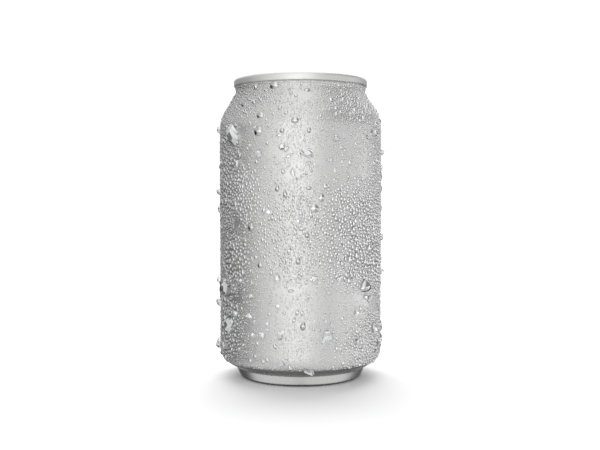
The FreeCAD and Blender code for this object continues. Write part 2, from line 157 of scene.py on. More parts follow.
# %% The outline of the can
WALL_RADIUS = 33.05
SEAM_BOTTOM = 119.2
SEAM_RADIUS = 27.4
NECK_RADIUS = 26.45
DOME_RADIUS = 45.0
DOME_HEIGHT = 10.6
LEG_RADIUS = 21.1
LEG_TOP = 5.3
DOME_POINTS = 14
outline_corners = [
    # radius, height, round of the corner, from the foot's inner side up to the lid
    (LEG_RADIUS, LEG_TOP, 1.2),
    (LEG_RADIUS, 0.0, 1.5),
    (24.7, 0.0, 2.1),
    (26.75, 4.45, 0.6),
    (WALL_RADIUS, 8.2, 6.5),
    (WALL_RADIUS, 105.6, 14.0),
    (NECK_RADIUS, 116.6, 3.0),
    (NECK_RADIUS, 118.0, 0.8),
    (NECK_RADIUS + 0.5, SEAM_BOTTOM, 0.0),
    (25.6, SEAM_BOTTOM, 0.0),
    (24.65, 115.3, 0.5),
    (22.85, 115.3, 0.5),
    (22.55, 116.5, 0.0),
]


def arc_in_corner(before, corner, after, radius, points):
    """Points of the arc of that radius that rounds a corner, from the first run to the second."""
    if radius == 0:
        return corner[None, :]
    back = (before - corner) / np.linalg.norm(before - corner)
    on = (after - corner) / np.linalg.norm(after - corner)
    half = math.acos(float(back @ on)) / 2
    centre = corner + (back + on) / np.linalg.norm(back + on) * radius / math.sin(half)
    start = corner + back * radius / math.tan(half) - centre
    end = corner + on * radius / math.tan(half) - centre
    share = np.linspace(0, 1, points)[:, None]
    sweep = math.pi - 2 * half
    arc = (np.sin((1 - share) * sweep) * start + np.sin(share * sweep) * end) / math.sin(sweep)
    return centre + arc


def can_outline(corners, dome_points=DOME_POINTS, arc_points=9, longest_run=2.5):
    """(radius, height) points in mm from the dome's crown down, round the foot and up to the lid.

    The dome is r = dome radius * sin(a), z = crown - dome radius * (1 - cos(a)), with a from 0. It
    stops a little short of the leg, so that the corner between them has room for its round.
    """
    dome_end = math.asin(LEG_RADIUS / DOME_RADIUS) * 0.93
    a = np.linspace(0, dome_end, dome_points)
    dome = np.stack([DOME_RADIUS * np.sin(a), DOME_HEIGHT - DOME_RADIUS * (1 - np.cos(a))], axis=1)
    places = np.array([(r, z) for r, z, _ in corners])
    before = np.vstack([dome[-1], places[:-1]])
    after = np.vstack([places[1:], [0.0, places[-1][1]]])
    parts = [dome]
    for i, (_, _, radius) in enumerate(corners):
        parts.append(arc_in_corner(before[i], places[i], after[i], radius, arc_points))
    parts.append(np.array([[0.0, places[-1][1]]]))
    rough = np.vstack(parts)
    fine = [rough[:1]]
    for p, q in zip(rough, rough[1:]):
        steps = max(1, math.ceil(np.linalg.norm(q - p) / longest_run))
        fine.append(p + (q - p) * (np.arange(1, steps + 1) / steps)[:, None])
    return np.vstack(fine)


outline = can_outline(outline_corners)
print("outline points:", len(outline))

# %% [markdown]
# ## The wall as a skin
#
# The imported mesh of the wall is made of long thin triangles, and polished metal shows each of them.
# So the wall gets a skin of its own: the same outline swung round the axis, with evenly shaped
# faces. It could also be made with the Screw modifier; a grid worked out here gives the UV map at
# the same time. U goes round the can and V up the outline, both in the size of the metal.

# %% The wall as a skin
ROUND_STEPS = 256


def turned_skin(name, profile, steps):
    """Swing an outline of (radius, height) points in mm round Z: x = r sin(a), y = -r cos(a), z.

    The first and the last point lie on the axis and become single points with a fan of triangles.
    The UV map holds the way round at the wall and the way along the outline, in metres.
    """
    inner = profile[1:-1]
    a = np.arange(steps) * (2 * math.pi / steps)
    rings = np.stack(
        [
            inner[:, :1] * np.sin(a),
            -inner[:, :1] * np.cos(a),
            np.repeat(inner[:, 1:], steps, axis=1),
        ],
        axis=-1,
    ).reshape(-1, 3)
    tips = np.array([[0, 0, profile[0, 1]], [0, 0, profile[-1, 1]]])
    count = len(rings)
    faces = [
        grid_faces(len(inner), steps),
        fan_faces(0, steps, count, outward=False),
        fan_faces(count - steps, steps, count + 1, outward=True),
    ]
    piece = build_mesh(name, np.vstack([rings, tips]) * MM, faces)
    along = np.concatenate([[0], np.cumsum(np.linalg.norm(np.diff(profile, axis=0), axis=1))])
    way_up = np.concatenate([np.repeat(along[1:-1], steps), along[[0, -1]]]) * MM
    way_round = np.concatenate([np.tile(a, len(inner)), [0, 0]]) * WALL_RADIUS * MM
    corners = np.zeros(len(piece.data.loops), np.int32)
    piece.data.loops.foreach_get("vertex_index", corners)
    u = way_round[corners]
    face_of = np.repeat(np.arange(len(piece.data.polygons)), [p.loop_total for p in piece.data.polygons])
    highest = np.zeros(len(piece.data.polygons))
    np.maximum.at(highest, face_of, u)
    full = 2 * math.pi * WALL_RADIUS * MM
    u = np.where((highest[face_of] > full / 2) & (u < full / 4), u + full, u)
    layer = piece.data.uv_layers.new(name="round_and_up")
    layer.data.foreach_set("uv", np.stack([u, way_up[corners]], axis=-1).ravel().astype(np.float32))
    return piece


can_wall = turned_skin("can_wall", outline, ROUND_STEPS)
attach(can_wall, "root")
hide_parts("can_body")

# %% [markdown]
# ## Finishes
#
# Two effects are node groups: the fine lines that forming and rolling leave in the metal, and the
# dew, which is the water too fine to make as meshes. A group only hands out masks and heights. The
# shader itself stays in the material, with its fixed numbers on its own sockets. Small helpers make
# a group, a node, a material and a smooth step, so that each finish reads as a short list.

# %% Node helpers
def new_group(name, inputs, outputs):
    """An empty shader node group with inputs {name: (type, value)} and outputs {name: type}."""
    group = bpy.data.node_groups.new(name, "ShaderNodeTree")
    for label, (kind, value) in inputs.items():
        socket = group.interface.new_socket(label, in_out="INPUT", socket_type="NodeSocket" + kind)
        if value is not None:
            socket.default_value = value
    for label, kind in outputs.items():
        group.interface.new_socket(label, in_out="OUTPUT", socket_type="NodeSocket" + kind)
    return group, group.nodes.new("NodeGroupInput"), group.nodes.new("NodeGroupOutput")


def node(tree, kind, settings=None, inputs=None):
    """Add a node, set its properties, and set or link its inputs by name or number."""
    made = tree.nodes.new(kind)
    for key, setting in (settings or {}).items():
        setattr(made, key, setting)
    for key, given in (inputs or {}).items():
        if isinstance(given, bpy.types.NodeSocket):
            tree.links.new(given, made.inputs[key])
        else:
            made.inputs[key].default_value = given
    return made


def new_material(name, **fixed):
    """A material with one Principled shader whose plain numbers are set on its own sockets."""
    material = bpy.data.materials.new(name)
    material.use_nodes = True
    shader = material.node_tree.nodes["Principled BSDF"]
    for socket, number in fixed.items():
        shader.inputs[socket.replace("_", " ")].default_value = number
    return material, material.node_tree, shader


def eased(tree, value, low, high, at_low, at_high):
    """A smooth step of `value` from at_low to at_high between low and high."""
    return node(
        tree,
        "ShaderNodeMapRange",
        {"interpolation_type": "SMOOTHSTEP"},
        {"Value": value, "From Min": low, "From Max": high, "To Min": at_low, "To Max": at_high},
    ).outputs["Result"]


def stepped(tree, value, low, high, at_low, at_high):
    """A straight step of `value` from at_low to at_high between low and high."""
    return node(
        tree,
        "ShaderNodeMapRange",
        inputs={"Value": value, "From Min": low, "From Max": high, "To Min": at_low, "To Max": at_high},
    ).outputs["Result"]


# %% [markdown]
# The ironing ring that stretches the can's wall leaves fine lines up the wall. They are noise that
# is squeezed hard across and drawn out long. Rolled sheet has the same lines, all in one direction,
# so one group serves both: it takes the coordinates, already stretched by the material.

# %% Drawn lines
drawn_lines, given, handed = new_group(
    "drawn_lines", {"Vector": ("Vector", None), "Scale": ("Float", 400.0)}, {"Lines": "Float"}
)
coarse = node(
    drawn_lines,
    "ShaderNodeTexNoise",
    inputs={"Vector": given.outputs["Vector"], "Scale": given.outputs["Scale"], "Detail": 6.0},
)
drawn_lines.links.new(coarse.outputs["Fac"], handed.inputs["Lines"])
print("group:", drawn_lines.name)

# %% [markdown]
# Dew is a layer of tiny domes of water. Each cell of a Voronoi pattern is one dome: its height falls
# with the distance from the cell's middle, and a slow noise makes them lower in places. It could be
# noise alone, but noise has no round drops in it.

# %% Dew
dew, given, handed = new_group(
    "dew", {"Vector": ("Vector", None), "Scale": ("Float", 1600.0)}, {"Height": "Float"}
)
domes = node(
    dew,
    "ShaderNodeTexVoronoi",
    inputs={"Vector": given.outputs["Vector"], "Scale": given.outputs["Scale"], "Randomness": 0.9},
)
dome_height = stepped(dew, domes.outputs["Distance"], 0.0, 0.55, 1.0, 0.0)
cover = node(
    dew, "ShaderNodeTexNoise", inputs={"Vector": given.outputs["Vector"], "Scale": 90.0, "Detail": 3.0}
)
cover_mask = stepped(dew, cover.outputs["Fac"], 0.35, 0.6, 0.25, 1.0)
dew_height = node(dew, "ShaderNodeMath", {"operation": "MULTIPLY"}, {0: dome_height, 1: cover_mask})
dew.links.new(dew_height.outputs["Value"], handed.inputs["Height"])
print("group:", dew.name)

# %% [markdown]
# ### The can's wall
#
# Bare drawn aluminium: a metal with a light neutral colour, satin rather than polished. Its
# roughness goes up and down with the drawn lines. Three things change with the height above the
# floor: the foot is a little smoother than the wall, no dew settles on it, and the lowest 1.4 mm of
# the ring that the can stands on is dark: partly dull wear, because it is the only part that rubs,
# and partly a painted shade for the dark contact line under the foot.

# %% The can's wall
WALL_COLOUR = (0.74, 0.74, 0.735, 1.0)
# dark colour of the stand ring: rubbed wear and a painted contact shade
RUBBED_AND_SHADED_COLOUR = (0.3, 0.3, 0.3, 1.0)
wall_metal, tree, shader = new_material("drawn_aluminium", Metallic=0.85)
uv = node(tree, "ShaderNodeUVMap", {"uv_map": "round_and_up"})
stretch = node(tree, "ShaderNodeMapping", inputs={"Vector": uv.outputs["UV"], "Scale": (1.0, 0.02, 1.0)})
lines = node(tree, "ShaderNodeGroup", {"node_tree": drawn_lines}, {"Vector": stretch.outputs["Vector"]})
lines.inputs["Scale"].default_value = 900.0
mist = node(tree, "ShaderNodeGroup", {"node_tree": dew}, {"Vector": uv.outputs["UV"]})
mist.inputs["Scale"].default_value = 1250.0
satin = stepped(tree, lines.outputs["Lines"], 0.3, 0.7, 0.36, 0.44)
place = node(tree, "ShaderNodeTexCoord")
height = node(tree, "ShaderNodeSeparateXYZ", inputs={"Vector": place.outputs["Object"]}).outputs["Z"]
foot = eased(tree, height, 5 * MM, 11 * MM, 0.7, 1.0)
rough = node(tree, "ShaderNodeMath", {"operation": "MULTIPLY"}, {0: satin, 1: foot})
tree.links.new(rough.outputs["Value"], shader.inputs["Roughness"])
# below 1.4 mm the wall turns to that colour: rubbed ring and painted contact shade
rubbed_and_shaded_ring = eased(tree, height, 0.6 * MM, 1.4 * MM, 0.0, 1.0)
metal = node(
    tree, "ShaderNodeMix", {"data_type": "RGBA"}, {0: rubbed_and_shaded_ring, 6: RUBBED_AND_SHADED_COLOUR, 7: WALL_COLOUR}
)
tree.links.new(metal.outputs[2], shader.inputs["Base Color"])
wet = eased(tree, height, 6 * MM, 10 * MM, 0.0, 1.0)
misted = node(tree, "ShaderNodeMath", {"operation": "MULTIPLY"}, {0: mist.outputs["Height"], 1: wet})
relief = node(
    tree,
    "ShaderNodeMath",
    {"operation": "MULTIPLY_ADD"},
    {0: lines.outputs["Lines"], 1: 0.15, 2: misted.outputs["Value"]},
)
bump = node(
    tree,
    "ShaderNodeBump",
    inputs={"Height": relief.outputs["Value"], "Strength": 0.8, "Distance": 0.11 * MM},
)
tree.links.new(bump.outputs["Normal"], shader.inputs["Normal"])
can_wall.data.materials.append(wall_metal)
print("wall finish:", len(tree.nodes), "nodes")

# %% [markdown]
# ### The end and the tab
#
# The end is stamped from rolled and lacquered sheet, so its fine lines all run one way across it, and
# the lacquer makes it a little less metallic. The tab is bent from harder strip and is brighter. Both
# are CAD nodes whose shape is right, so they keep their mesh and only get a finish.

# %% The end and the tab
def rolled_sheet(name, colour, low, high, scale, metallic=1.0):
    """Rolled aluminium: lines along Y that change the roughness between `low` and `high`."""
    material, tree, shader = new_material(name, Metallic=metallic)
    shader.inputs["Base Color"].default_value = (*colour, 1.0)
    place = node(tree, "ShaderNodeTexCoord")
    along = node(
        tree, "ShaderNodeMapping", inputs={"Vector": place.outputs["Object"], "Scale": (1.0, 0.03, 0.2)}
    )
    grain = node(tree, "ShaderNodeGroup", {"node_tree": drawn_lines}, {"Vector": along.outputs["Vector"]})
    grain.inputs["Scale"].default_value = scale
    spread = stepped(tree, grain.outputs["Lines"], 0.3, 0.7, low, high)
    tree.links.new(spread, shader.inputs["Roughness"])
    raised = node(
        tree,
        "ShaderNodeBump",
        inputs={"Height": grain.outputs["Lines"], "Strength": 0.2, "Distance": 0.02 * MM},
    )
    tree.links.new(raised.outputs["Normal"], shader.inputs["Normal"])
    return material


def refinish(part, material):
    """Give a CAD node one material in place of all that it has."""
    part.data.materials.clear()
    part.data.materials.append(material)


refinish(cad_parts["lid"], rolled_sheet("end_sheet", (0.8, 0.8, 0.795), 0.34, 0.42, 1500.0, 0.7))
refinish(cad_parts["pull_tab"], rolled_sheet("tab_strip", (0.9, 0.9, 0.9), 0.14, 0.22, 1200.0))
print("refinished: lid, pull_tab")

# %% [markdown]
# ### Water and ice
#
# Water and ice are clear, and a full glass shader would be the plain way to make them. On satin
# metal, at the size of a bead, glass comes out muddy: the metal that it should show is rough and
# grey. What the eye sees on a real drop is the bright room on its skin and a dark edge where the
# drop bends light away. So both finishes are mostly metallic, like silver, and the dark edge is a
# painted shade in the base colour: each drop and chip carries a point attribute that says how dark
# the painted shade is at each point.

# %% The tint of water and ice
BRIGHT_WATER = (1.0, 1.0, 1.0, 1.0)
BRIGHT_ICE = (0.95, 0.96, 0.96, 1.0)
# the dark colour of the painted shade on water and ice
PAINTED_SHADE_COLOUR = (0.03, 0.03, 0.031, 1.0)


def tint_by_painted_shade(tree, shader, bright):
    """Painted shade: base colour = bright * (1 - s) + dark * s, with s the point attribute."""
    shade_amount = node(
        tree, "ShaderNodeAttribute", {"attribute_type": "GEOMETRY", "attribute_name": "painted_shade"}
    )
    tint = node(
        tree, "ShaderNodeMix", {"data_type": "RGBA"}, {0: shade_amount.outputs["Fac"], 6: bright, 7: PAINTED_SHADE_COLOUR}
    )
    tree.links.new(tint.outputs[2], shader.inputs["Base Color"])


water, tree, shader = new_material(
    "water_on_metal", Metallic=0.9, Roughness=0.05, IOR=1.333, Transmission_Weight=1.0
)
tint_by_painted_shade(tree, shader, BRIGHT_WATER)
print("finish:", water.name)

# %% [markdown]
# Ice is a touch frosted on its broken faces, so a noise moves its roughness and dents it. The edges
# of a crystal are crushed white. They get a finish of their own, which a bevel puts on its narrow
# faces.

# %% Ice
ice, tree, shader = new_material("clear_ice", Metallic=0.7, IOR=1.31, Transmission_Weight=0.3)
tint_by_painted_shade(tree, shader, BRIGHT_ICE)
place = node(tree, "ShaderNodeTexCoord")
frost = node(
    tree, "ShaderNodeTexNoise", inputs={"Vector": place.outputs["Object"], "Scale": 900.0, "Detail": 3.0}
)
tree.links.new(stepped(tree, frost.outputs["Fac"], 0.45, 0.7, 0.08, 0.3), shader.inputs["Roughness"])
chipped = node(
    tree, "ShaderNodeBump", inputs={"Height": frost.outputs["Fac"], "Strength": 0.3, "Distance": 0.1 * MM}
)
tree.links.new(chipped.outputs["Normal"], shader.inputs["Normal"])

crushed_ice, tree, shader = new_material("frosted_edges", Metallic=0.0, Roughness=0.35)
shader.inputs["Base Color"].default_value = (0.97, 0.98, 0.98, 1.0)
print("finishes:", ice.name, crushed_ice.name)

# %% [markdown]
# ## Where things sit on the wall
#
# A drop is easiest to describe on a flat sheet: so far round, so far up, so far out. To lay that
# sheet round the can, the wall's outline is read by its own length. For a place at length s along
# the outline, the radius, the height and the outward direction come from the outline's points.

# %% Places on the wall
# only the outside: past the dome and the leg, up to where the wall first meets the seam
wall_rows = (outline[:, 0] > LEG_RADIUS + 2) & (np.arange(len(outline)) > DOME_POINTS)
wall_rows &= np.cumsum(outline[:, 1] >= SEAM_BOTTOM - 0.01) < 2
wall_line = outline[wall_rows]
wall_way = np.concatenate([[0], np.cumsum(np.linalg.norm(np.diff(wall_line, axis=0), axis=1))])
wall_slope = np.gradient(wall_line, wall_way, axis=0)
wall_slope /= np.linalg.norm(wall_slope, axis=1, keepdims=True)
WALL_END = wall_way[-1]
print("wall length along the outline, mm:", round(float(WALL_END), 1))


def way_at(height):
    """Length along the outline at a height of the outside wall, in mm."""
    return np.interp(height, wall_line[:, 1], wall_way)


def height_at(way):
    """Height in mm at a length along the outline."""
    return np.interp(way, wall_way, wall_line[:, 1])


def on_wall(azimuth, way, out):
    """Points in mm for azimuth (radians from the front), way up the outline and distance out.

    The point is (r, z) on the outline plus `out` times the outward normal (slope_z, -slope_r).
    """
    r = np.interp(way, wall_way, wall_line[:, 0])
    z = np.interp(way, wall_way, wall_line[:, 1])
    slope_r = np.interp(way, wall_way, wall_slope[:, 0])
    slope_z = np.interp(way, wall_way, wall_slope[:, 1])
    r = r + out * slope_z
    z = z - out * slope_r
    return np.stack([r * np.sin(azimuth), -r * np.cos(azimuth), z], axis=-1)


# %% [markdown]
# ## The shape of a drop
#
# Water on metal is a cap of a ball, and a heavy drop sags: fuller below than above. All the drops of
# one kind are worked out together. The cap's height at the share t of its width is
# sqrt(R^2 - t^2) - (R - q), where q is its height over its half width and R = (1 + q^2) / 2q. The rim
# dips just into the metal, so no gap shows, and a face closes the drop underneath. It could be a
# scaled ball, but half of a ball's faces would lie inside the metal.
#
# Each point also gets its share of painted shade: none at the tip, most near the rim on the side
# that is turned away from the front and below.

# %% The shape of a drop
def drop_points(azimuth, way, wide, tall, fat, sag, wobble, turn, shares, sides, sunk):
    """Points in mm of drops, all arrays of one number per drop; returns (drops, points, 3).

    Across = wide * t * cos(b) * (1 - sag * up), up the wall = tall * t * sin(b), both stretched by a
    wavy outline 1 + wobble * (cos(2b + p) + cos(3b + 2p) / 2), and turned by `turn`.
    """
    t = np.asarray(shares)[None, :, None]
    b = (np.arange(sides) * (2 * math.pi / sides))[None, None, :]
    cols = [np.asarray(x, float)[:, None, None] for x in (azimuth, way, wide, tall, fat, sag, wobble, turn)]
    azimuth, way, wide, tall, fat, sag, wobble, turn = cols
    wave = 1 + wobble * (np.cos(2 * b + 9 * turn) + 0.5 * np.cos(3 * b + 18 * turn))
    up = t * np.sin(b) * wave
    across = t * np.cos(b) * wave * (1 - sag * up)
    x, y = across * wide, up * tall
    x, y = x * np.cos(turn) - y * np.sin(turn), x * np.sin(turn) + y * np.cos(turn)
    ball = (1 + fat**2) / (2 * fat)
    cap = np.sqrt(np.maximum(ball**2 - t**2, 0)) - (ball - fat)
    out = cap * np.sqrt(wide * tall) * (1 - 0.35 * sag * up)
    out = np.where(t >= 1, -sunk, out)
    way_here = np.clip(way + y, 0.0, WALL_END)
    r = np.interp(way_here, wall_way, wall_line[:, 0])
    rings = on_wall(azimuth + x / r, way_here, out)
    count = rings.shape[0]
    tip = on_wall(azimuth[:, 0, 0], way[:, 0, 0], (fat * np.sqrt(wide * tall))[:, 0, 0])
    return np.concatenate([tip[:, None, :], rings.reshape(count, -1, 3)], axis=1)


def drop_shade(azimuth, clear, inside, shares, sides):
    """Painted shade of a drop at each of its points, from 0 to 1.

    It is under + clear * rise(t) * (0.08 + 0.92 * side). Side = 1.8 sin(azimuth) cos(b) - 0.6 sin(b)
    - 0.3, kept from 0 to 1, is the side that is turned away. Rise goes from 0 at t = 0.1 to 1 at
    0.6. Clear, the strength of the painted shade, falls to a fifth round the back of the can, where
    the room is even. Under is `inside` plus up to 0.35 of painted shade on the left, for the dark
    metal that a drop shows there.
    """
    t = np.asarray(shares)[None, :, None]
    b = (np.arange(sides) * (2 * math.pi / sides))[None, None, :]
    side = np.clip(1.8 * np.sin(azimuth)[:, None, None] * np.cos(b) - 0.6 * np.sin(b) - 0.3, 0, 1)
    clear = clear * (0.6 + 0.4 * np.cos(azimuth))
    rise = np.clip((t - 0.1) / 0.5, 0, 1)
    under = inside + 0.35 * np.clip(-2 * np.sin(azimuth) - 0.9, 0, 1)
    rings = under[:, None, None] + clear[:, None, None] * rise * (0.08 + 0.92 * side)
    rings = np.clip(rings, 0, 1)
    return np.concatenate([under[:, None], rings.reshape(len(azimuth), -1)], axis=1)


def hold_painted_shade(piece, shade):
    """Keep the painted shade, one number per point of a mesh, as a point attribute of the mesh."""
    bent = piece.data.attributes.new("painted_shade", "FLOAT", "POINT")
    bent.data.foreach_set("value", shade.ravel().astype(np.float32))


def drop_faces(rings, sides):
    """Faces of one drop: a fan round the tip, quads between the rings and one face underneath."""
    quads = grid_faces(rings, sides)[:, ::-1] + 1
    top = fan_faces(1, sides, 0, outward=True)
    under = (1 + (rings - 1) * sides + np.arange(sides))[None, ::-1]
    return [top, quads, under]


def make_drops(name, places, shares, sides, sunk=0.06, inside=0.0):
    """One mesh of all the drops in a dictionary of arrays, one number per drop in each array."""
    places = dict(places)
    # clear sets how strong the painted shade is; inside is painted shade over the whole drop
    clear = places.pop("clear")
    points = drop_points(**places, shares=shares, sides=sides, sunk=sunk)
    piece = build_mesh(name, points * MM, drop_faces(len(shares), sides), copies=len(points))
    hold_painted_shade(piece, drop_shade(places["azimuth"], clear, inside, shares, sides))
    piece.data.materials.append(water)
    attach(piece, "root")


# %% [markdown]
# ## Where the water is
#
# The dew isn't even. Some patches were wiped or ran dry and show smooth metal; some stretches have
# fat, tightly packed beads. The patches are listed here, each an oval on the wall: degrees
# round from the front, height, half width in degrees and half height in mm.

# %% Where the water is
bare_patches = [
    # degrees round, height, half width in degrees, half height
    (-17, 93, 9.5, 7.5),
    (-2, 86.7, 5, 2.2),
    (20, 84.5, 7, 4.2),
    (38, 94.6, 6.5, 6),
    (-47, 64, 6, 3.4),
    (-8, 39, 18, 2.6),
    (40, 35, 8, 2.4),
    (-49, 34, 7, 3.6),
    (-12, 29, 3, 2),
    (-44, 99.6, 5, 4),
    (21, 107, 4, 3),
    (33, 25, 5, 2),
    (0, 113.5, 14, 5),
    (25, 36.5, 4, 3),
    (150, 70, 12, 9),
    (200, 40, 10, 5),
    (110, 95, 8, 6),
    (250, 88, 9, 7),
    (235, 25, 12, 4),
]
WALL_FOOT = 7.5  # no bead stands lower than this
print("bare patches:", len(bare_patches))


def bareness(azimuth, way):
    """1 in the middle of a bare patch, falling to 0 at its edge, for arrays of places.

    It is 1.15 - x^2 - y^2 in the oval's own half widths, plus waves that make the edge uneven.
    """
    most = np.zeros(np.shape(azimuth))
    for degrees, height, half_wide, half_tall in bare_patches:
        turn = (np.degrees(azimuth) - degrees + 180) % 360 - 180
        rise = (height_at(way) - height) / half_tall
        ripple = 0.25 * np.sin(3 * turn + height) + 0.2 * np.cos(5 * rise)
        most = np.maximum(most, 1.15 - (turn / half_wide) ** 2 - rise**2 + ripple)
    return np.clip(most, 0, 1)


# %% [markdown]
# ## Big drops
#
# The few drops that stand out on the front are given one by one. More of them, drawn at random, go
# round the sides and the back. They could be metaballs, which flow together, but then one fineness
# of mesh has to serve every size. The fatter a drop is, the darker its painted shade.

# %% Big drops
front_drops = [
    # degrees round, height, half width, half height, fatness, sag
    (-22.5, 117.4, 2.0, 1.7, 0.5, 0.1),
    (-29.4, 99.4, 1.8, 2.0, 0.42, 0.15),
    (5.3, 115.2, 1.3, 1.0, 0.4, 0.1),
    (-47.2, 110.5, 1.4, 1.3, 0.5, 0.1),
    (-28.3, 105.5, 1.5, 1.4, 0.4, 0.1),
    (-12.2, 99.5, 0.9, 1.1, 0.5, 0.2),
    (5.6, 99.5, 0.9, 1.2, 0.5, 0.2),
    (-3.6, 103.3, 1.5, 1.5, 0.35, 0.1),
    (-35.2, 62.7, 1.4, 1.8, 0.55, 0.25),
    (-28.0, 48.2, 1.1, 1.4, 0.5, 0.2),
    (9.4, 69.9, 1.7, 1.8, 0.28, 0.1),
    (5.5, 77.6, 1.3, 0.8, 0.5, 0.1),
    (-15.5, 77.5, 0.9, 1.4, 0.5, 0.2),
    (4.3, 59.8, 1.0, 1.2, 0.65, 0.2),
    (-1.6, 50.0, 1.0, 1.5, 0.5, 0.3),
    (49.7, 39.3, 2.7, 2.8, 0.8, 0.45),
    (1.7, 25.2, 1.1, 1.8, 0.6, 0.35),
    (-10.2, 75.4, 0.9, 1.8, 0.45, 0.3),
    (14.0, 74.0, 1.2, 1.8, 0.35, 0.2),
    (58.0, 55.0, 1.2, 1.6, 0.7, 0.3),
    (64.0, 48.0, 1.2, 1.5, 0.7, 0.3),
    (41.0, 47.0, 1.1, 1.5, 0.7, 0.3),
    (52.0, 44.0, 1.0, 1.4, 0.7, 0.3),
]
rng = np.random.default_rng(11)
SIDE_DROPS = 70
side_azimuth = rng.uniform(80, 280, SIDE_DROPS)
side_height = rng.uniform(14, 114, SIDE_DROPS)
side_wide = rng.uniform(0.9, 1.9, SIDE_DROPS)
side_drops = np.stack(
    [
        side_azimuth,
        side_height,
        side_wide,
        side_wide * rng.uniform(1.0, 1.5, SIDE_DROPS),
        rng.uniform(0.35, 0.7, SIDE_DROPS),
        rng.uniform(0.1, 0.4, SIDE_DROPS),
    ],
    axis=1,
)
big = np.vstack([front_drops, side_drops])
big_places = {
    "azimuth": np.radians(big[:, 0]),
    "way": way_at(big[:, 1]),
    "wide": big[:, 2],
    "tall": big[:, 3],
    "fat": big[:, 4],
    "sag": big[:, 5],
    "wobble": rng.uniform(0.0, 0.06, len(big)),
    "turn": rng.normal(0, 0.08, len(big)),
    # strength of the painted shade: the fatter the drop, the darker
    "clear": 0.15 + big[:, 4],
}
BIG_DROP_RINGS = (0.16, 0.32, 0.48, 0.63, 0.77, 0.88, 0.96, 1.0)
# inside=0.22 is painted shade over the whole of each big drop
make_drops("big_drops", big_places, BIG_DROP_RINGS, sides=28, inside=0.22)
# the round places that are taken, as (azimuth, way, radius), for the beads to keep clear of
taken = [tuple(p) for p in zip(big_places["azimuth"], big_places["way"], big[:, 2:4].mean(axis=1))]

# %% [markdown]
# ## Chips of ice
#
# The chips are broken crystals. One block would look like a sugar lump, so a crystal is four
# splinters that run into each other: one of about its width in the middle and three smaller ones
# round it. The larger crystals are given one by one on the front. Crumbs and more crystals, drawn at
# random, fill the front and go round the back.

# %% Where the ice is
front_chips = [
    # degrees round, height, half wide, half tall, stands out, turned by degrees
    (-51.0, 97.6, 2.9, 3.6, 2.2, 20),
    (-47.4, 87.4, 1.5, 1.6, 1.4, 35),
    (4.3, 90.8, 2.0, 1.6, 1.5, 5),
    (-11.8, 93.4, 1.2, 1.2, 1.1, 30),
    (-9.6, 92.2, 1.3, 0.9, 1.0, 75),
    (9.6, 86.0, 1.0, 1.0, 0.9, 20),
    (-4.9, 83.3, 0.7, 2.4, 0.9, 38),
    (24.2, 97.0, 1.2, 1.2, 1.2, 8),
    (-28.5, 90.8, 1.1, 1.1, 1.0, 40),
    (-7.8, 89.5, 0.9, 0.9, 0.9, 10),
    (-1.6, 65.2, 1.0, 1.1, 0.9, 20),
    (-21.0, 68.5, 1.0, 1.2, 0.9, 55),
    (60.4, 99.5, 1.4, 1.3, 1.3, 50),
    (48.0, 104.5, 1.2, 1.0, 1.0, 15),
    (-86.0, 101.8, 1.3, 1.2, 1.5, 10),
    (-87.0, 76.2, 1.1, 1.3, 1.2, 40),
    (-88.0, 40.0, 1.0, 1.2, 1.4, 25),
    (-80.0, 31.0, 1.5, 1.3, 1.5, 60),
    (88.0, 92.6, 1.2, 1.0, 1.3, 30),
    (87.0, 43.2, 1.0, 1.1, 1.3, 5),
    (-15.0, 43.4, 1.2, 1.7, 1.2, 4),
    (-6.2, 38.6, 1.3, 1.2, 0.9, 25),
    (8.3, 43.5, 1.2, 1.1, 1.0, 48),
    (-62.5, 37.9, 2.4, 3.3, 2.0, -35),
    (-57.5, 23.8, 2.9, 2.6, 2.2, 20),
    (21.4, 24.9, 1.1, 1.1, 1.2, 10),
    (18.6, 20.4, 1.9, 1.8, 1.6, 40),
    (-26.5, 20.8, 1.3, 1.1, 1.2, 30),
    (-13.0, 21.3, 1.3, 1.4, 1.3, 12),
    (-11.8, 10.6, 1.4, 1.2, 1.3, 65),
    (6.0, 7.6, 1.7, 0.8, 1.2, -25),
    (69.6, 14.9, 1.4, 1.4, 1.5, 20),
    (-67.0, 14.5, 1.2, 1.1, 1.2, 45),
    (61.3, 21.4, 0.9, 1.9, 1.2, 30),
    (27.3, 42.4, 1.4, 1.1, 1.2, 15),
    (-15.0, 32.7, 0.9, 0.9, 0.9, 33),
    (55.2, 33.8, 1.1, 1.0, 1.1, 70),
    (42.0, 18.0, 1.2, 1.2, 1.2, 22),
    (-36.0, 28.0, 1.0, 1.3, 1.1, 55),
]
SIDE_CHIPS = 62
side_size = rng.uniform(0.8, 2.2, SIDE_CHIPS)
side_chips = np.stack(
    [
        rng.uniform(80, 280, SIDE_CHIPS),
        rng.uniform(9, 110, SIDE_CHIPS),
        side_size,
        side_size * rng.uniform(0.7, 1.4, SIDE_CHIPS),
        side_size * rng.uniform(0.7, 1.0, SIDE_CHIPS),
        rng.uniform(-90, 90, SIDE_CHIPS),
    ],
    axis=1,
)
CRUMBS = 60
crumb_size = rng.uniform(0.4, 0.85, CRUMBS)
crumbs = np.stack(
    [
        rng.uniform(-74, 74, CRUMBS),
        np.where(rng.uniform(0, 1, CRUMBS) < 0.5, rng.uniform(80, 108, CRUMBS), rng.uniform(9, 44, CRUMBS)),
        crumb_size,
        crumb_size * rng.uniform(0.7, 1.5, CRUMBS),
        crumb_size * rng.uniform(0.8, 1.2, CRUMBS),
        rng.uniform(-90, 90, CRUMBS),
    ],
    axis=1,
)
chips = np.vstack([front_chips, crumbs, side_chips])
print("crystals:", len(chips))

# %% [markdown]
# A crystal's splinters are its own row of the table four times over, each with a share of its size.
# The first stays in the middle, the others move out by most of a half width, and each is turned a
# little more.

